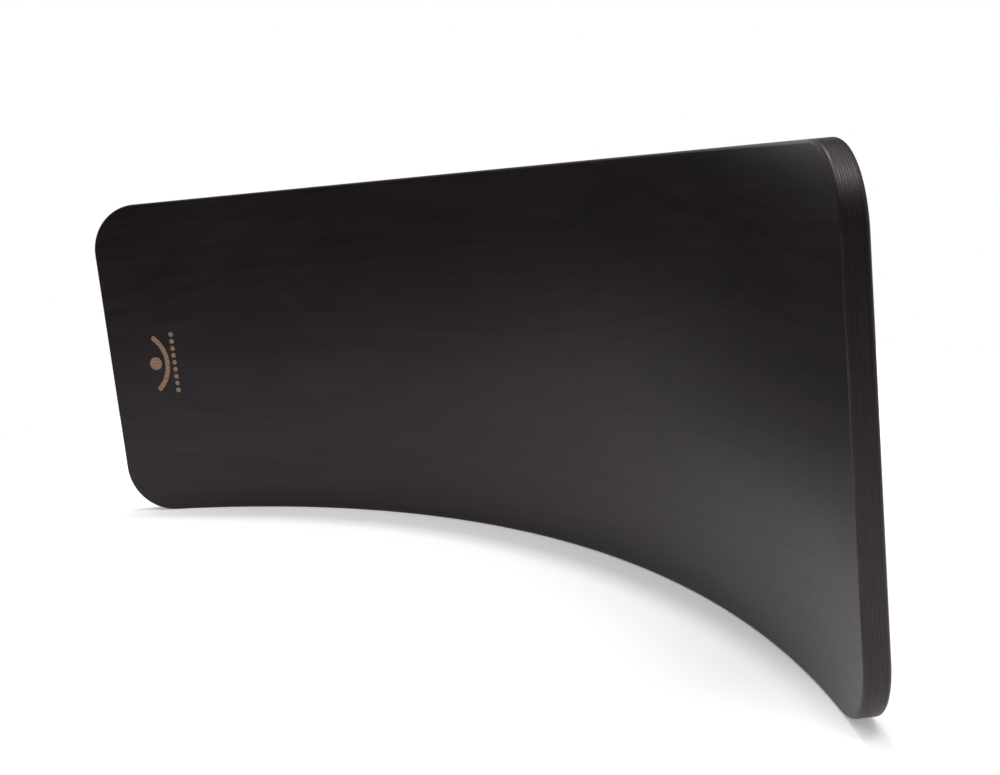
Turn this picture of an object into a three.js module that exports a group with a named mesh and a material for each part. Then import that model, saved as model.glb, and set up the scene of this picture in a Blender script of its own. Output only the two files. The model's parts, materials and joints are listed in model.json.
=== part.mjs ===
// A curved balance board: veneers glued face to face over a form, cut to an outline with round corners,
// and stained black. It stands on one long edge.
//
// Millimetres. +X runs along the board, +Y points to its convex side and +Z up across its width. The origin
// is on the ground, under the middle of the board.

import * as THREE from "three";

// The blank, measured along the middle of its thickness before it is bent.
const BLANK_LENGTH = 900;
const BOARD_WIDTH = 300;
const CORNER_RADIUS = 45;
const ARRIS_RADIUS = 2; // the small round between each face and the edges

// The lay-up, counted from the concave face. Long veneers have their grain along the board, and cross
// veneers have it across.
const VENEER_THICKNESS = 1.2;
const GLUE_LINE = 0.1;
const LAY_UP = [
  { name: "concave_face_veneer", finish: "face" },
  { name: "cross_ply_1", finish: "cross" },
  { name: "long_ply_1", finish: "long" },
  { name: "cross_ply_2", finish: "cross" },
  { name: "long_ply_2", finish: "long" },
  { name: "core_ply", finish: "cross" },
  { name: "long_ply_3", finish: "long" },
  { name: "cross_ply_3", finish: "cross" },
  { name: "long_ply_4", finish: "long" },
  { name: "cross_ply_4", finish: "cross" },
  { name: "convex_face_veneer", finish: "face" },
];

// The bend: one even curve from end to end.
const CONCAVE_RADIUS = 600;

// How finely the curves are divided.
const SIDE_STEPS = 48;
const CORNER_STEPS = 8;
const ARRIS_STEPS = 3;

// Stain soaks into end grain, so a cross veneer's edge is darker than a long veneer's along the board.
const FINISHES = {
  face: { color: 0x1d1b1c, roughness: 0.42, metalness: 0 },
  long: { color: 0x232021, roughness: 0.55, metalness: 0 },
  cross: { color: 0x171516, roughness: 0.6, metalness: 0 },
};

const PLY_PITCH = VENEER_THICKNESS + GLUE_LINE;
const BOARD_THICKNESS = LAY_UP.length * PLY_PITCH - GLUE_LINE;
const MIDDLE_RADIUS = CONCAVE_RADIUS + BOARD_THICKNESS / 2;
const CORNER_CENTRE_ALONG = BLANK_LENGTH / 2 - CORNER_RADIUS;
const CORNER_CENTRE_ACROSS = BOARD_WIDTH / 2 - CORNER_RADIUS;
const QUARTER_TURN = Math.PI / 2;

// The places along the board where every veneer is divided, from one end to the other. Each lies on the
// rectangle of the corner centres, with the direction in which the outline is away from it: 0 straight
// out to the long edge, and a quarter turn straight out to the end.
function outlineStations() {
  const corner = Array.from({ length: CORNER_STEPS }, (_, i) => (1 - i / CORNER_STEPS) * QUARTER_TURN);
  const leftCorner = corner.map((turn) => ({ along: -CORNER_CENTRE_ALONG, turn: -turn }));
  const rightCorner = corner.map((turn) => ({ along: CORNER_CENTRE_ALONG, turn })).reverse();
  const side = Array.from({ length: SIDE_STEPS + 1 }, (_, i) => ({
    along: (2 * i / SIDE_STEPS - 1) * CORNER_CENTRE_ALONG,
    turn: 0,
  }));
  return [...leftCorner, ...side, ...rightCorner];
}

// A station's point on the outline, drawn in by an inset, as the distance along the board and half the
// width there.
function outlinePoint({ along, turn }, inset) {
  const reach = CORNER_RADIUS - inset;
  return { along: along + reach * Math.sin(turn), halfWidth: CORNER_CENTRE_ACROSS + reach * Math.cos(turn) };
}

// How far the rounded arris draws the outline in, at a depth below the nearer face.
function arrisInset(depth) {
  const rise = Math.max(ARRIS_RADIUS - depth, 0);
  return ARRIS_RADIUS - Math.sqrt(ARRIS_RADIUS ** 2 - rise ** 2);
}

// One veneer: a flat strip divided at the stations, shaped to the outline and bent to its place in the
// stack. The strip's own X runs along the board, its Y through the thickness and its Z across.
function veneerGeometry(ply, stations) {
  const isFace = ply === 0 || ply === LAY_UP.length - 1;
  const strip = new THREE.BoxGeometry(1, 1, 1, stations.length - 1, isFace ? ARRIS_STEPS : 1, 1);
  const place = strip.getAttribute("position");
  const vertex = new THREE.Vector3();
  for (let i = 0; i < place.count; i++) {
    vertex.fromBufferAttribute(place, i);
    const height = ply * PLY_PITCH + (vertex.y + 0.5) * VENEER_THICKNESS;
    const inset = arrisInset(Math.min(height, BOARD_THICKNESS - height));
    const station = stations[Math.round((vertex.x + 0.5) * (stations.length - 1))];
    const { along, halfWidth } = outlinePoint(station, inset);
    const angle = along / MIDDLE_RADIUS;
    const radius = CONCAVE_RADIUS + height;
    const up = BOARD_WIDTH / 2 + Math.sign(vertex.z) * halfWidth;
    place.setXYZ(i, radius * Math.sin(angle), radius * Math.cos(angle), up);
  }
  strip.computeVertexNormals();
  return strip;
}

function buildBoard() {
  const board = new THREE.Group();
  const stations = outlineStations();
  LAY_UP.forEach(({ name, finish }, ply) => {
    const material = new THREE.MeshStandardMaterial(FINISHES[finish]);
    const veneer = new THREE.Mesh(veneerGeometry(ply, stations), material);
    veneer.name = name;
    board.add(veneer);
  });
  // The veneers are bent about the origin, so the board is moved back over it.
  const middle = new THREE.Box3().setFromObject(board).getCenter(new THREE.Vector3());
  board.position.set(-middle.x, -middle.y, 0);
  return board;
}

export default buildBoard();
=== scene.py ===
"""A curved balance board, stained black, standing on one long edge.

The board is made the way its maker makes it. A flat blank gets its round corners and its rounded
arrises, and is cut through its thickness into veneers and the glue lines between them. The stack is
bent over an even curve, each veneer is dressed in stained wood with its grain along or across the
board, and a small mark is printed near one end of the hollow side.

Everything is in metres. +X runs along the board, +Y points to its convex side and +Z up across it.
"""

import json
import logging
import math
from collections.abc import Callable, Iterator
from contextlib import contextmanager
from dataclasses import dataclass
from enum import Enum, IntEnum
from typing import Any

import bmesh
import bpy
from mathutils import Matrix, Vector


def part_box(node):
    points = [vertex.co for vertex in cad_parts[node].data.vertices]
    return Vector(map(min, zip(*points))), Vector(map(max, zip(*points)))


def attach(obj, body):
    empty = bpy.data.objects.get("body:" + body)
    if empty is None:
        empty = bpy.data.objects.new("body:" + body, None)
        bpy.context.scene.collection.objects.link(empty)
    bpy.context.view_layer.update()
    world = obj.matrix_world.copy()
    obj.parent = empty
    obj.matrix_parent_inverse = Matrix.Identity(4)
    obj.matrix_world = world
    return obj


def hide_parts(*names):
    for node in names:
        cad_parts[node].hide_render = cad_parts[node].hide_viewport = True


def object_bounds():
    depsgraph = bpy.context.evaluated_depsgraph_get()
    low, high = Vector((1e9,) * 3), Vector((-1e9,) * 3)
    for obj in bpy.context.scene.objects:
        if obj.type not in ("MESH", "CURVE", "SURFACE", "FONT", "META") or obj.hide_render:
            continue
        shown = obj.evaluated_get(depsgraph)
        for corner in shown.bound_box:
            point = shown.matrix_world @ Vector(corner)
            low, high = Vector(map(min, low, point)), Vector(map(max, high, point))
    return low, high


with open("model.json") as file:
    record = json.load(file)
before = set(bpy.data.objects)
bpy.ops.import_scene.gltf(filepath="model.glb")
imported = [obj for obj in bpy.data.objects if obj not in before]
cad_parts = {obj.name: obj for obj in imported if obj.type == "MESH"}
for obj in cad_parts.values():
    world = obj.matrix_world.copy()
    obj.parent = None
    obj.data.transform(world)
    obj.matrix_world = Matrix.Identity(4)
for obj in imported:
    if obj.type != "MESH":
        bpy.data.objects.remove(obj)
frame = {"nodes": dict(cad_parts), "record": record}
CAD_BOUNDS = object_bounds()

LOG = logging.getLogger("balance_board")
ROOT = "root"
FLAT = "flat_place"  # the attribute with each point's place before the board was bent
ARRIS = "arris"  # the attribute that is 1 along the middle of each rounded arris and 0 away from it
MILLIMETRE = 0.001
ROUND_PROFILE = 0.5  # the bevel profile that is an arc of a circle
NOISE_MEAN = 0.5

Triple = tuple[float, float, float]
Colour = tuple[float, float, float, float]
Fade = tuple[float, float]


# ---------------------------------------------------------------------------------------------
# Modelling moves
# ---------------------------------------------------------------------------------------------


def choose(*pieces: bpy.types.Object) -> None:
    """Selects these pieces and nothing else, with the first one active."""
    bpy.ops.object.select_all(action="DESELECT")
    for piece in pieces:
        piece.select_set(True)
    bpy.context.view_layer.objects.active = pieces[0]


@contextmanager
def editing(piece: bpy.types.Object) -> Iterator[None]:
    """Opens one piece in edit mode, with nothing selected, and closes it again afterwards."""
    choose(piece)
    bpy.ops.object.mode_set(mode="EDIT")
    bpy.ops.mesh.select_mode(type="EDGE")
    bpy.ops.mesh.select_all(action="DESELECT")
    yield
    bpy.ops.object.mode_set(mode="OBJECT")


def select_edges(piece: bpy.types.Object, wanted: Callable[[bmesh.types.BMEdge], bool]) -> None:
    """Selects the edges of the piece being edited that are wanted.

    Args:
        piece: The piece in edit mode.
        wanted: Says of one edge whether to select it.
    """
    shape = bmesh.from_edit_mesh(piece.data)
    for edge in shape.edges:
        if wanted(edge):
            edge.select_set(True)
    bmesh.update_edit_mesh(piece.data)


def add_box(name: str, size: Vector, centre: Vector) -> bpy.types.Object:
    """Adds a box at its size and place, with its object at the origin.

    Args:
        name: The new piece's name.
        size: Its extent along each axis.
        centre: The middle of the box.

    Returns:
        The new piece.
    """
    bpy.ops.object.select_all(action="DESELECT")
    bpy.ops.mesh.primitive_cube_add(size=1, location=centre, scale=size)
    box = bpy.context.object
    box.name = name
    bpy.ops.object.transform_apply(location=True, rotation=True, scale=True)
    return box


def copy_of(piece: bpy.types.Object, name: str) -> bpy.types.Object:
    """Copies a piece, with a mesh of its own."""
    choose(piece)
    bpy.ops.object.duplicate()
    twin = bpy.context.object
    twin.name = name
    return twin


def apply_modifier(piece: bpy.types.Object, kind: str, **settings: Any) -> None:
    """Adds a modifier to a piece, sets it and applies it."""
    choose(piece)
    bpy.ops.object.modifier_add(type=kind)
    modifier = piece.modifiers[-1]
    for name, value in settings.items():
        setattr(modifier, name, value)
    bpy.ops.object.modifier_apply(modifier=modifier.name)


def finish_piece(piece: bpy.types.Object, name: str, material: bpy.types.Material) -> None:
    """Names a piece, dresses it in one material and makes it ride on the board."""
    piece.name = name
    piece.data.name = name
    piece.data.materials.clear()
    piece.data.materials.append(material)
    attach(piece, ROOT)


# ---------------------------------------------------------------------------------------------
# Shader sums
# ---------------------------------------------------------------------------------------------


class Signal:
    """A number that varies over a surface. Ordinary sums on it add Math nodes."""

    def __init__(self, shader: "Shader", socket: bpy.types.NodeSocket) -> None:
        """Wraps one output socket of a shader's node."""
        self.shader = shader
        self.socket = socket

    def sum(self, operation: str, *values: Any, clamp: bool = False) -> "Signal":
        """Adds one Math node.

        Args:
            operation: The node's operation.
            values: Its inputs in order, each a number or a Signal.
            clamp: Whether the result is held between 0 and 1.

        Returns:
            The node's result.
        """
        settings = {"operation": operation, "use_clamp": clamp}
        node = self.shader.node("ShaderNodeMath", settings, dict(enumerate(values)))
        return Signal(self.shader, node.outputs[0])

    def __add__(self, other: Any) -> "Signal":
        """self + other."""
        return self.sum("ADD", self, other)

    def __sub__(self, other: Any) -> "Signal":
        """self - other."""
        return self.sum("SUBTRACT", self, other)

    def __rsub__(self, other: Any) -> "Signal":
        """other - self."""
        return self.sum("SUBTRACT", other, self)

    def __mul__(self, other: Any) -> "Signal":
        """self * other."""
        return self.sum("MULTIPLY", self, other)

    __radd__ = __add__
    __rmul__ = __mul__

    def fraction(self) -> "Signal":
        """What is left after the whole part is taken away."""
        return self.sum("FRACT", self)

    def at_least(self, other: Any) -> "Signal":
        """The larger of the two."""
        return self.sum("MAXIMUM", self, other)

    def at_most(self, other: Any) -> "Signal":
        """The smaller of the two."""
        return self.sum("MINIMUM", self, other)

    def ramp(self, start: float, end: float) -> "Signal":
        """A smooth step from 0 at start to 1 at end."""
        settings = {"interpolation_type": "SMOOTHSTEP"}
        inputs = {"Value": self, "From Min": start, "From Max": end}
        node = self.shader.node("ShaderNodeMapRange", settings, inputs)
        return Signal(self.shader, node.outputs["Result"])


class Shader:
    """The nodes of one material or of the world, emptied and wired from here."""

    def __init__(self, owner: bpy.types.Material | bpy.types.World) -> None:
        """Empties the owner's nodes."""
        owner.use_nodes = True
        self.nodes = owner.node_tree.nodes
        self.links = owner.node_tree.links
        self.nodes.clear()

    def node(self, kind: str, settings: dict[str, Any] | None = None,
             inputs: dict[str | int, Any] | None = None) -> bpy.types.Node:
        """Adds one node.

        Args:
            kind: The node's type.
            settings: Its settings, which are set before its sockets.
            inputs: A value, a Signal or an output socket for each of its inputs that is used.

        Returns:
            The new node.
        """
        made = self.nodes.new(kind)
        for name, value in (settings or {}).items():
            setattr(made, name, value)
        for name, value in (inputs or {}).items():
            self.feed(made.inputs[name], value)
        return made

    def feed(self, socket: bpy.types.NodeSocket, value: Any) -> None:
        """Links a Signal or a socket to an input, or sets the input to a plain value."""
        source = value.socket if isinstance(value, Signal) else value
        if isinstance(source, bpy.types.NodeSocket):
            self.links.new(source, socket)
        else:
            socket.default_value = source

    def blend(self, share: Any, first: Any, second: Any) -> bpy.types.NodeSocket:
        """Mixes two colours.

        Args:
            share: How much of the second colour shows, from 0 to 1.
            first: The colour at 0.
            second: The colour at 1.

        Returns:
            The mixed colour's socket.
        """
        mix = self.node("ShaderNodeMix", {"data_type": "RGBA"}, {0: share, 6: first, 7: second})
        return mix.outputs[2]


@dataclass
class FlatBoard:
    """Places and patterns in the board as it was before it was bent."""

    shader: Shader

    def __post_init__(self) -> None:
        """Reads the flat place and splits it into its three directions."""
        source = self.shader.node("ShaderNodeAttribute", {"attribute_name": FLAT})
        self.place = source.outputs["Vector"]
        split = self.shader.node("ShaderNodeSeparateXYZ", None, {0: self.place})
        self.along, _, self.across = (Signal(self.shader, part) for part in split.outputs)
        rounded = self.shader.node("ShaderNodeAttribute", {"attribute_name": ARRIS})
        self.arris = Signal(self.shader, rounded.outputs["Fac"])

    def noise(self, per_metre: Triple, shift: float = 0.0, detail: float = 2.0) -> Signal:
        """Noise stretched along the axes.

        Args:
            per_metre: How often it varies in a metre along, through and across the board.
            shift: Moves the pattern, so that two pieces differ.
            detail: Octaves of finer variation.

        Returns:
            The noise, about NOISE_MEAN on average.
        """
        inputs = {"Vector": self.place, "Location": (shift, shift, shift), "Scale": per_metre}
        placed = self.shader.node("ShaderNodeMapping", None, inputs)
        inputs = {"Vector": placed.outputs[0], "Scale": 1.0, "Detail": detail}
        made = self.shader.node("ShaderNodeTexNoise", None, inputs)
        return Signal(self.shader, made.outputs[0])


# ---------------------------------------------------------------------------------------------
# Finishes
# ---------------------------------------------------------------------------------------------


class Grain(Enum):
    """Which way a veneer's fibres run."""

    ALONG = "along"
    ACROSS = "across"


class Pattern(IntEnum):
    """How far each pattern of a veneer is shifted, so that no two of them agree."""

    SWELL = 0
    WAVER = 3
    STREAKS = 5
    FIBRES = 7
    PORES = 9
    CLOUD = 11
    SCUFFS = 13


@dataclass(frozen=True)
class Finish:
    """How one kind of surface looks."""

    name: str

    def inputs(self, shader: Shader) -> dict[str, Any]:
        """Works out the surface's inputs, from the finish's own fields.

        Args:
            shader: The new material's nodes.

        Returns:
            A value or a Signal for each input of the surface that is used.
        """
        raise NotImplementedError

    def build(self) -> bpy.types.Material:
        """Makes the material."""
        material = bpy.data.materials.new(self.name)
        shader = Shader(material)
        surface = shader.node("ShaderNodeBsdfPrincipled", None, self.inputs(shader))
        shader.node("ShaderNodeOutputMaterial", None, {"Surface": surface.outputs[0]})
        return material


@dataclass(frozen=True)
class StainedVeneer(Finish):
    """A show veneer stained black, under a satin lacquer.

    Each pattern's rates say how often it varies in a metre: along the grain, through the board and
    beside the grain. Those of the cloud and the scuffs go by the board's own axes instead. A fade
    says where something starts to show and where it shows in full.
    """

    shift: float = 0.0
    grain: Grain = Grain.ALONG

    deep: Colour = (0.0032, 0.0022, 0.0027, 1)
    pale: Colour = (0.0190, 0.0135, 0.0162, 1)
    # Lighter colour along the arrises: partly rub-through wear, partly a painted highlight.
    rubbed_and_painted_highlight: Colour = (0.032, 0.023, 0.020, 1)
    lacquer_tint: Colour = (1.0, 0.88, 0.94, 1)
    roughness: float = 0.37
    refraction: float = 1.385

    swell_rates: Triple = (1.5, 1.0, 7.0)
    waver_rates: Triple = (9.0, 1.0, 40.0)
    swell_rings: float = 17.0
    rings_per_metre: float = 12.0
    waver_rings: float = 0.5
    late_wood: Fade = (0.35, 0.90)
    ring_end: Fade = (0.90, 1.0)

    streak_rates: Triple = (3.0, 200.0, 120.0)
    fibre_rates: Triple = (30.0, 900.0, 1300.0)
    pore_rates: Triple = (110.0, 2600.0, 2600.0)
    pore_fade: Fade = (0.60, 0.74)
    cloud_rates: Triple = (7.0, 7.0, 9.0)

    tone: float = 0.36
    figure_tone: float = 0.15
    streak_tone: float = 0.6
    fibre_tone: float = 0.5
    cloud_tone: float = 0.5
    pore_tone: float = 0.35

    scuff_rates: Triple = (60.0, 60.0, 60.0)
    scuff_fade: Fade = (0.35, 0.75)
    arris_fade: Fade = (0.30, 0.95)

    fibre_roughness: float = 0.10
    cloud_roughness: float = 0.06
    pore_roughness: float = 0.08

    pore_depth: float = 0.00004
    relief: float = 0.35
    fibre_relief: float = 0.5
    figure_relief: float = 0.25

    def laid(self, rates: Triple) -> Triple:
        """Turns rates along, through and beside the grain into rates along the board's axes."""
        return rates if self.grain is Grain.ALONG else rates[::-1]

    def figure(self, board: FlatBoard) -> Signal:
        """The growth rings' figure: long nested arcs, as where a slicer passes through a log."""
        swell = board.noise(self.laid(self.swell_rates), self.shift + Pattern.SWELL, detail=1.0)
        waver = board.noise(self.laid(self.waver_rates), self.shift + Pattern.WAVER)
        sideways = board.across if self.grain is Grain.ALONG else board.along
        rings = (swell * self.swell_rings + sideways * self.rings_per_metre
                 + waver * self.waver_rings).fraction()
        return 1 - rings.ramp(*self.late_wood) * (1 - rings.ramp(*self.ring_end))

    def inputs(self, shader: Shader) -> dict[str, Any]:
        """Works out the stain's colour, with a lighter colour along the arrises that is partly
        rub-through wear and partly a painted highlight, and the lacquer's sheen.
        """
        board = FlatBoard(shader)
        figure = self.figure(board)
        streaks = board.noise(self.laid(self.streak_rates), self.shift + Pattern.STREAKS, detail=3.0)
        fibres = board.noise(self.laid(self.fibre_rates), self.shift + Pattern.FIBRES)
        pores = board.noise(self.laid(self.pore_rates), self.shift + Pattern.PORES)
        pores = pores.ramp(*self.pore_fade)
        cloud = board.noise(self.cloud_rates, self.shift + Pattern.CLOUD)
        tone = (self.figure_tone * figure + self.streak_tone * (streaks - NOISE_MEAN)
                + self.fibre_tone * (fibres - NOISE_MEAN) + self.cloud_tone * (cloud - NOISE_MEAN))
        tone = (self.tone + tone - self.pore_tone * pores).at_least(0.0).at_most(1.0)
        scuffs = board.noise(self.scuff_rates, self.shift + Pattern.SCUFFS, detail=3.0)
        # Lighter along the middle of every arris, in scuffed patches: partly wear, partly a painted
        # highlight.
        wear_and_painted_highlight = board.arris.ramp(*self.arris_fade) * scuffs.ramp(*self.scuff_fade)
        bump = shader.node("ShaderNodeBump", None, {
            "Strength": self.relief, "Distance": self.pore_depth,
            "Height": self.fibre_relief * fibres - pores + self.figure_relief * figure,
        })
        return {
            "Base Color": shader.blend(wear_and_painted_highlight, shader.blend(tone, self.deep, self.pale), self.rubbed_and_painted_highlight),
            "Roughness": (self.roughness + self.fibre_roughness * (fibres - NOISE_MEAN)
                          + self.cloud_roughness * (cloud - NOISE_MEAN)
                          + self.pore_roughness * pores),
            "IOR": self.refraction, "Specular Tint": self.lacquer_tint, "Normal": bump.outputs[0],
        }


@dataclass(frozen=True)
class LongPlyEdge(StainedVeneer):
    """The sanded edge of an inner veneer with its grain along the board."""

    refraction: float = 1.46


@dataclass(frozen=True)
class CrossPlyEdge(StainedVeneer):
    """The sanded edge of an inner veneer with its grain across the board, duller than the rest."""

    grain: Grain = Grain.ACROSS
    refraction: float = 1.46
    roughness: float = 0.41


STAINS = {"face_veneer": StainedVeneer, "long_ply": LongPlyEdge, "cross_ply": CrossPlyEdge}


@dataclass(frozen=True)
class CuredGlue(Finish):
    """The thin film of glue between two veneers, darkened by the stain."""

    name: str = "cured_glue"
    dark: Colour = (0.003, 0.0025, 0.0025, 1)
    light: Colour = (0.010, 0.007, 0.006, 1)
    bead_rates: Triple = (160.0, 160.0, 160.0)
    roughness: float = 0.35
    bead_roughness: float = 0.2

    def inputs(self, shader: Shader) -> dict[str, Any]:
        """Works out the glue's colour and sheen, uneven where it has beaded."""
        beads = FlatBoard(shader).noise(self.bead_rates)
        return {
            "Base Color": shader.blend(beads, self.dark, self.light),
            "Roughness": self.roughness + self.bead_roughness * beads,
        }


@dataclass(frozen=True)
class PrintedInk(Finish):
    """Tan ink, a little uneven where the grain shows through it."""

    name: str = "tan_ink"
    thin: Colour = (0.15, 0.085, 0.050, 1)
    full: Colour = (0.34, 0.215, 0.135, 1)
    cover_rates: Triple = (140.0, 1.0, 900.0)
    cover_fade: Fade = (0.30, 0.62)
    roughness: float = 0.62
    cover_roughness: float = 0.12

    def inputs(self, shader: Shader) -> dict[str, Any]:
        """Works out the ink's colour, and its sheen where it lies thick."""
        cover = FlatBoard(shader).noise(self.cover_rates, detail=3.0).ramp(*self.cover_fade)
        return {
            "Base Color": shader.blend(cover, self.thin, self.full),
            "Roughness": self.roughness - self.cover_roughness * cover,
        }


@dataclass(frozen=True)
class StudioPaper(Finish):
    """The floor's matt white paper, with a painted glow of its own: faint near the middle and stronger
    further out, lifting the shade around the board.
    """

    name: str = "studio_paper"
    colour: Colour = (0.92, 0.90, 0.91, 1)
    roughness: float = 0.9
    specular: float = 0.2
    # Painted light: the paper glows by itself, faintly near the middle and more further out.
    glow: float = 0.16
    outer_glow: float = 0.44
    outer_fade: Fade = (0.28, 0.50)

    def inputs(self, shader: Shader) -> dict[str, Any]:
        """Works out the paper's painted glow from the distance to the middle of the floor."""
        place = shader.node("ShaderNodeTexCoord").outputs["Object"]
        reach = shader.node("ShaderNodeVectorMath", {"operation": "LENGTH"}, {0: place})
        distance = Signal(shader, reach.outputs["Value"])
        return {
            "Base Color": self.colour, "Roughness": self.roughness,
            "Specular IOR Level": self.specular,
            "Emission Color": (self.glow
                               + (self.outer_glow - self.glow) * distance.ramp(*self.outer_fade)),
            "Emission Strength": 1.0,
        }


# ---------------------------------------------------------------------------------------------
# The board
# ---------------------------------------------------------------------------------------------


@dataclass
class Layup:
    """The bent stack of veneers, with the glue lines between them.

    The glue lies below the board's edges by its recess. The snap keeps a crosscut from making
    slivers beside points that are already there. From one veneer to the next, the pattern of the
    wood moves on by the figure's step.
    """

    blank_length: float = 0.900
    corner_radius: float = 0.045
    arris_radius: float = 0.002
    concave_radius: float = 0.600
    glue_line: float = 0.0001
    glue_recess: float = 0.00018
    veneer_ease: float = 0.0001
    corner_segments: int = 36
    arris_segments: int = 5
    stations: int = 128
    smooth_angle: float = math.radians(32)
    cut_tolerance: float = 1e-6
    crosscut_snap: float = 2e-4
    figure_step: float = 17.0

    def __post_init__(self) -> None:
        """Works out the stack from the frame's nodes."""
        self.nodes = sorted(frame["nodes"], key=lambda node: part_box(node)[1].y)
        concave_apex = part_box(self.nodes[0])[1].y
        self.convex_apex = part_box(self.nodes[-1])[1].y
        self.pitch = (self.convex_apex - concave_apex) / (len(self.nodes) - 1)
        self.thickness = len(self.nodes) * self.pitch - self.glue_line
        self.middle_radius = self.concave_radius + self.thickness / 2
        low, high = CAD_BOUNDS
        self.width = high.z - low.z
        self.floor_height = low.z

    @property
    def middle_height(self) -> float:
        """How high the middle of the width is above the floor."""
        return self.floor_height + self.width / 2

    def blank(self, name: str, recess: float = 0.0) -> bpy.types.Object:
        """Makes the flat blank with its round corners, thick through Y and centred on the origin.

        Args:
            name: The piece's name.
            recess: How far its outline is drawn in.

        Returns:
            The blank.
        """
        size = Vector((self.blank_length - 2 * recess, self.thickness, self.width - 2 * recess))
        blank = add_box(name, size, Vector((0, 0, self.middle_height)))
        with editing(blank):
            select_edges(blank, lambda edge: abs(edge.verts[0].co.y - edge.verts[1].co.y) > MILLIMETRE)
            bpy.ops.mesh.bevel(offset=self.corner_radius - recess, segments=self.corner_segments,
                               profile=ROUND_PROFILE, affect="EDGES")
        return blank

    def round_arrises(self, blank: bpy.types.Object) -> None:
        """Rounds the edges all round both faces of the blank."""
        def borders_a_face(edge: bmesh.types.BMEdge) -> bool:
            """Whether an edge lies in one of the two faces."""
            start, end = (point.co.y for point in edge.verts)
            is_level = abs(start - end) < self.glue_line
            return is_level and abs(start) > self.thickness / 2 - self.glue_line

        with editing(blank):
            select_edges(blank, borders_a_face)
            bpy.ops.mesh.bevel(offset=self.arris_radius, segments=self.arris_segments,
                               profile=ROUND_PROFILE, affect="EDGES")

    def slice(self, blank: bpy.types.Object, name: str, low: float, high: float) -> bpy.types.Object:
        """Cuts one sheet out of the blank.

        Args:
            blank: The whole thickness, which is left as it is.
            name: The sheet's name.
            low: The height through the thickness where the sheet starts.
            high: The height where it ends.

        Returns:
            The sheet, closed where it was cut.
        """
        sheet = copy_of(blank, name)
        for height, side in ((low, "clear_inner"), (high, "clear_outer")):
            if abs(height) > self.thickness / 2 - self.glue_line / 2:
                continue
            with editing(sheet):
                bpy.ops.mesh.select_all(action="SELECT")
                bpy.ops.mesh.bisect(plane_co=(0, height, 0), plane_no=(0, 1, 0), use_fill=True,
                                    threshold=self.cut_tolerance, **{side: True})
        return sheet

    def ease(self, sheet: bpy.types.Object, low: float, high: float) -> None:
        """Eases a veneer's cut edges between the arrises, for a fine groove at each glue line.

        Args:
            sheet: The veneer.
            low: The height through the thickness where it starts.
            high: The height where it ends.
        """
        cuts = [cut for cut in (low, high) if abs(cut) < self.thickness / 2 - self.arris_radius]

        def is_cut_edge(edge: bmesh.types.BMEdge) -> bool:
            """Whether an edge lies in one of the cuts."""
            return any(all(abs(point.co.y - cut) < self.cut_tolerance for point in edge.verts)
                       for cut in cuts)

        with editing(sheet):
            select_edges(sheet, is_cut_edge)
            bpy.ops.mesh.bevel(offset=self.veneer_ease, segments=1, affect="EDGES")

    def crosscut(self, stack: bpy.types.Object) -> None:
        """Divides the flat stack along its length, so that it can bend."""
        with editing(stack):
            for station in range(1, self.stations):
                along = (station / self.stations - 0.5) * self.blank_length
                bpy.ops.mesh.select_all(action="SELECT")
                bpy.ops.mesh.bisect(plane_co=(along, 0, 0), plane_no=(1, 0, 0),
                                    threshold=self.crosscut_snap)

    def note_arrises(self, stack: bpy.types.Object) -> None:
        """Notes how near each point of the flat stack is to the middle of an arris, for the wear and
        the painted highlight along the arrises.
        """
        straight = (self.blank_length / 2 - self.corner_radius, self.width / 2 - self.corner_radius)
        shares = []
        for point in stack.data.vertices:
            place = (abs(point.co.x), abs(point.co.z - self.middle_height))
            beyond = (max(far - start, 0.0) for far, start in zip(place, straight))
            inset = self.corner_radius - math.hypot(*beyond)
            depth = self.thickness / 2 - abs(point.co.y)
            shares.append(max(1 - abs(depth - inset) / self.arris_radius, 0.0))
        note = stack.data.attributes.new(ARRIS, "FLOAT", "POINT")
        note.data.foreach_set("value", shares)

    def bend(self, piece: bpy.types.Object) -> None:
        """Notes where each point of a flat piece is, then bends the piece and moves it into place.

        Args:
            piece: The flat piece, which is left with the board's curve.
        """
        points = piece.data.vertices
        places = [0.0] * (3 * len(points))
        points.foreach_get("co", places)
        note = piece.data.attributes.new(FLAT, "FLOAT_VECTOR", "POINT")
        note.data.foreach_set("vector", places)
        reach = max(places[0::3]) - min(places[0::3])
        apply_modifier(piece, "SIMPLE_DEFORM", deform_method="BEND", deform_axis="Z",
                       angle=-reach / self.middle_radius)
        with editing(piece):
            bpy.ops.mesh.select_all(action="SELECT")
            bpy.ops.transform.translate(value=(0, self.convex_apex - self.thickness / 2, 0))

    def smooth(self, piece: bpy.types.Object) -> None:
        """Shades a piece smooth across its curves, and leaves its broad faces true."""
        choose(piece)
        bpy.ops.object.shade_smooth_by_angle(angle=self.smooth_angle)
        apply_modifier(piece, "WEIGHTED_NORMAL", mode="FACE_AREA", keep_sharp=True)

    def sheets(self) -> list[bpy.types.Object]:
        """Makes every veneer and glue line, flat, from the concave face up."""
        blank = self.blank("blank")
        self.round_arrises(blank)
        core = self.blank("glue_core", self.glue_recess)
        made = []
        for ply in range(len(self.nodes)):
            low = ply * self.pitch - self.thickness / 2
            high = low + self.pitch - self.glue_line
            veneer = self.slice(blank, "veneer", low, high)
            self.ease(veneer, low, high)
            made.append(veneer)
            if ply < len(self.nodes) - 1:
                made.append(self.slice(core, "film", high, high + self.glue_line))
        for block in (blank, core):
            bpy.data.objects.remove(block)
        return made

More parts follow.
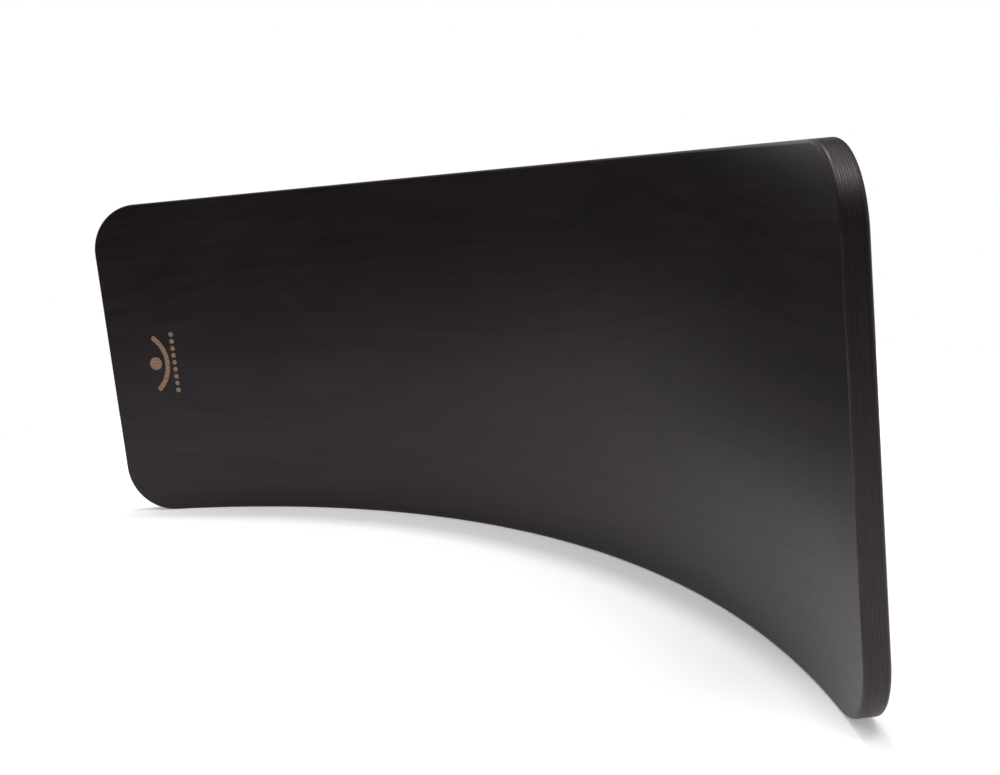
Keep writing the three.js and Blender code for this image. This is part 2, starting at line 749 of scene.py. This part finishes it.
    def build(self) -> list[bpy.types.Object]:
        """Lays up the sheets, bends them together and takes the stack apart again.

        Returns:
            The veneers and glue lines by turns, from the concave face to the convex one.
        """
        flat = self.sheets()
        choose(*flat)
        bpy.ops.object.join()
        stack = bpy.context.object
        self.crosscut(stack)
        self.note_arrises(stack)
        self.bend(stack)
        self.smooth(stack)
        with editing(stack):
            bpy.ops.mesh.select_all(action="SELECT")
            bpy.ops.mesh.separate(type="LOOSE")
        parts = list(bpy.context.selected_objects)
        return sorted(parts, key=lambda part: max(point.co.y for point in part.data.vertices))

    def dress(self, parts: list[bpy.types.Object]) -> None:
        """Gives each veneer and glue line its name, finish and place on the board."""
        glue = CuredGlue().build()
        slots = {row["node"]: row["material_slot"] for row in frame["record"]["subparts"]}
        for turn, part in enumerate(parts):
            ply, is_film = divmod(turn, 2)
            if is_film:
                finish_piece(part, f"glue_line_{ply + 1}", glue)
                continue
            node = self.nodes[ply]
            wood = STAINS[slots[node]](f"stained_{node}", self.figure_step * ply).build()
            finish_piece(part, f"{node}_bent", wood)
            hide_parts(node)
            LOG.info("%s stands for %s", part.name, node)


@dataclass
class PrintedMark:
    """A small plain mark printed near one end of the hollow side.

    It is a ball over a rocker with a row of dots under them, and its foot is towards the board's
    middle. A patch's ends are rounded by just under half its width, so that the rounds don't meet.
    """

    board: Layup
    foot: float = -0.3845
    across: float = 0.1465
    film: float = 0.00005
    sunk: float = 0.00003
    station: float = 0.003
    dot: float = 0.0046
    dot_pitch: float = 0.0068
    dots: int = 9
    rocker_length: float = 0.060
    rocker_width: float = 0.0046
    rocker_turn: float = math.radians(105)
    rocker_rise: float = 0.0075
    ball: float = 0.0125
    ball_rise: float = 0.0195
    round_share: float = 0.499
    round_segments: int = 7
    cut_tolerance: float = 1e-5

    def patch(self, length: float, width: float) -> bpy.types.Object:
        """Makes one flat patch of ink with round ends, at the origin.

        Args:
            length: How long it is across the board.
            width: How wide it is along the board.

        Returns:
            The patch, as thick as the film and the part of it that is sunk in the face.
        """
        patch = add_box("ink", Vector((width, self.film + self.sunk, length)), Vector((0, 0, 0)))
        with editing(patch):
            select_edges(patch, lambda edge: abs(edge.verts[0].co.y - edge.verts[1].co.y) > self.film)
            bpy.ops.mesh.bevel(offset=self.round_share * width, segments=self.round_segments,
                               profile=ROUND_PROFILE, affect="EDGES")
        return patch

    def divide(self, piece: bpy.types.Object, axis: int) -> None:
        """Divides a flat piece at even stations along one axis, so that it can bend."""
        reach = [point.co[axis] for point in piece.data.vertices]
        normal = [0.0, 0.0, 0.0]
        normal[axis] = 1.0
        with editing(piece):
            for turn in range(1, math.ceil((max(reach) - min(reach)) / self.station)):
                bpy.ops.mesh.select_all(action="SELECT")
                place = [step * (min(reach) + turn * self.station) for step in normal]
                bpy.ops.mesh.bisect(plane_co=place, plane_no=normal, threshold=self.cut_tolerance)

    def shift(self, piece: bpy.types.Object, rise: float, aside: float = 0.0) -> bpy.types.Object:
        """Moves a patch up from the mark's foot and aside along its row."""
        depth = -self.board.thickness / 2 - self.film / 2 + self.sunk / 2
        with editing(piece):
            bpy.ops.mesh.select_all(action="SELECT")
            bpy.ops.transform.translate(value=(self.foot - rise, depth, self.across + aside))
        return piece

    def rocker(self) -> bpy.types.Object:
        """Makes the curved bar, with its ends turned up."""
        bar = self.patch(self.rocker_length, self.rocker_width)
        self.divide(bar, 2)
        with editing(bar):
            bpy.ops.mesh.select_all(action="SELECT")
            bpy.ops.transform.rotate(value=math.pi / 2, orient_axis="Y", center_override=(0, 0, 0))
            bpy.ops.transform.rotate(value=math.pi / 2, orient_axis="X", center_override=(0, 0, 0))
        apply_modifier(bar, "SIMPLE_DEFORM", deform_method="BEND", deform_axis="Z",
                       angle=-self.rocker_turn)
        with editing(bar):
            bpy.ops.mesh.select_all(action="SELECT")
            bpy.ops.transform.rotate(value=-math.pi / 2, orient_axis="X", center_override=(0, 0, 0))
            bpy.ops.transform.rotate(value=-math.pi / 2, orient_axis="Y", center_override=(0, 0, 0))
        return self.shift(bar, self.rocker_rise)

    def build(self) -> None:
        """Makes the shapes flat, joins them, and bends them onto the board's face."""
        shapes = [self.rocker(), self.shift(self.patch(self.ball, self.ball), self.ball_rise)]
        for turn in range(self.dots):
            aside = (turn - (self.dots - 1) / 2) * self.dot_pitch
            shapes.append(self.shift(self.patch(self.dot, self.dot), 0.0, aside))
        choose(*shapes)
        bpy.ops.object.join()
        mark = bpy.context.object
        self.divide(mark, 0)
        self.board.bend(mark)
        self.board.smooth(mark)
        finish_piece(mark, "printed_mark", PrintedInk().build())
        LOG.info("%s printed at %.3f m along the board", mark.name, self.foot)


# ---------------------------------------------------------------------------------------------
# The studio
# ---------------------------------------------------------------------------------------------


@dataclass(frozen=True)
class Lamp:
    """A square soft lamp that faces straight down."""

    name: str
    place: Triple
    size: float
    power: float

    def add(self) -> None:
        """Adds the lamp to the scene."""
        light = bpy.data.lights.new(self.name, "AREA")
        light.size = self.size
        light.energy = self.power
        lamp = bpy.data.objects.new(self.name, light)
        lamp.location = self.place
        bpy.context.scene.collection.objects.link(lamp)


@dataclass(frozen=True)
class Panel:
    """A round soft panel of light far away, which the lacquer reflects."""

    strength: float
    aim: Triple
    fade: Fade

    def light(self, toward: list[Signal]) -> Signal:
        """How much of the panel's light comes from a direction."""
        facing = sum((part * share for part, share in zip(toward, self.aim)), 0.0)
        return self.strength * facing.ramp(*self.fade)


@dataclass
class Studio:
    """The floor, the lights and the camera."""

    floor_radius: float = 0.95
    floor_rings: int = 96
    camera_place: Triple = (0.7062, -0.5701, 0.3010)
    camera_heading: float = math.radians(47.92)
    camera_tilt: float = math.radians(-9.196)
    camera_roll: float = math.radians(-5.621)
    lens: float = 42.90
    sensor: float = 36.0
    lens_shift: tuple[float, float] = (-0.0094, -0.0273)
    lamps: tuple[Lamp, ...] = (
        Lamp("key_lamp", (-0.20, 0.38, 2.85), 0.22, 29.5),
        Lamp("soft_lamp", (0.4, -0.3, 3.6), 2.6, 25.0),
        Lamp("edge_lamp", (1.68, -0.08, 3.2), 1.1, 27.0),
    )
    ceiling: Panel = Panel(0.38, (0.0, 0.0, 1.0), (0.60, 0.85))
    left_panel: Panel = Panel(0.60, (-0.50, -0.40, 0.77), (0.72, 0.92))
    right_panel: Panel = Panel(0.60, (0.85, 0.25, 0.46), (0.78, 0.95))
    back_panel: Panel = Panel(0.85, (-0.80, 0.50, 0.33), (0.88, 0.96))
    wall_light: float = 0.90
    wall_facing: Fade = (0.0, 0.45)
    wall_top: Fade = (0.08, 0.38)
    dim_room: float = 0.03
    backdrop: Colour = (1.0, 1.0, 1.0, 1)

    def add_camera(self) -> None:
        """Adds the camera and makes it the scene's."""
        lens = bpy.data.cameras.new("camera")
        lens.lens = self.lens
        lens.sensor_width = self.sensor
        lens.shift_x, lens.shift_y = self.lens_shift
        camera = bpy.data.objects.new("camera", lens)
        aim = (Matrix.Rotation(self.camera_heading, 3, "Z")
               @ Matrix.Rotation(math.pi / 2 + self.camera_tilt, 3, "X")
               @ Matrix.Rotation(self.camera_roll, 3, "Z"))
        camera.matrix_world = Matrix.Translation(self.camera_place) @ aim.to_4x4()
        bpy.context.scene.collection.objects.link(camera)
        bpy.context.scene.camera = camera

    def add_floor(self) -> None:
        """Adds the round sheet of paper that the board stands on."""
        bpy.ops.object.select_all(action="DESELECT")
        bpy.ops.mesh.primitive_circle_add(vertices=self.floor_rings, radius=self.floor_radius,
                                          fill_type="NGON", location=(0, 0, CAD_BOUNDS[0].z))
        floor = bpy.context.object
        floor.name = "floor"
        floor.data.materials.append(StudioPaper().build())

    def add_surroundings(self) -> None:
        """Sets soft panels and a low back wall in a dim room, and plain white behind the board.

        The room lights the board and shows in its lacquer. The camera sees only the white.
        """
        world = bpy.data.worlds.new("studio")
        bpy.context.scene.world = world
        shader = Shader(world)
        direction = shader.node("ShaderNodeTexCoord").outputs["Generated"]
        split = shader.node("ShaderNodeSeparateXYZ", None, {0: direction})
        toward = [Signal(shader, part) for part in split.outputs]
        _, ahead, up = toward
        wall = self.wall_light * ahead.ramp(*self.wall_facing) * (1 - up.ramp(*self.wall_top))
        panels = (self.ceiling, self.left_panel, self.right_panel, self.back_panel)
        room = sum((panel.light(toward) for panel in panels), self.dim_room) + wall
        seen = shader.node("ShaderNodeLightPath").outputs["Is Camera Ray"]
        colour = shader.blend(seen, room, self.backdrop)
        background = shader.node("ShaderNodeBackground", None, {"Color": colour, "Strength": 1.0})
        shader.node("ShaderNodeOutputWorld", None, {"Surface": background.outputs[0]})

    def build(self) -> None:
        """Sets up the whole studio."""
        bpy.context.scene.view_settings.view_transform = "Standard"
        self.add_camera()
        self.add_floor()
        self.add_surroundings()
        for lamp in self.lamps:
            lamp.add()


def main() -> None:
    """Builds the studio and the board."""
    logging.basicConfig(level=logging.INFO, format="%(message)s")
    Studio().build()
    board = Layup()
    board.dress(board.build())
    PrintedMark(board).build()


if __name__ == "__main__":
    main()
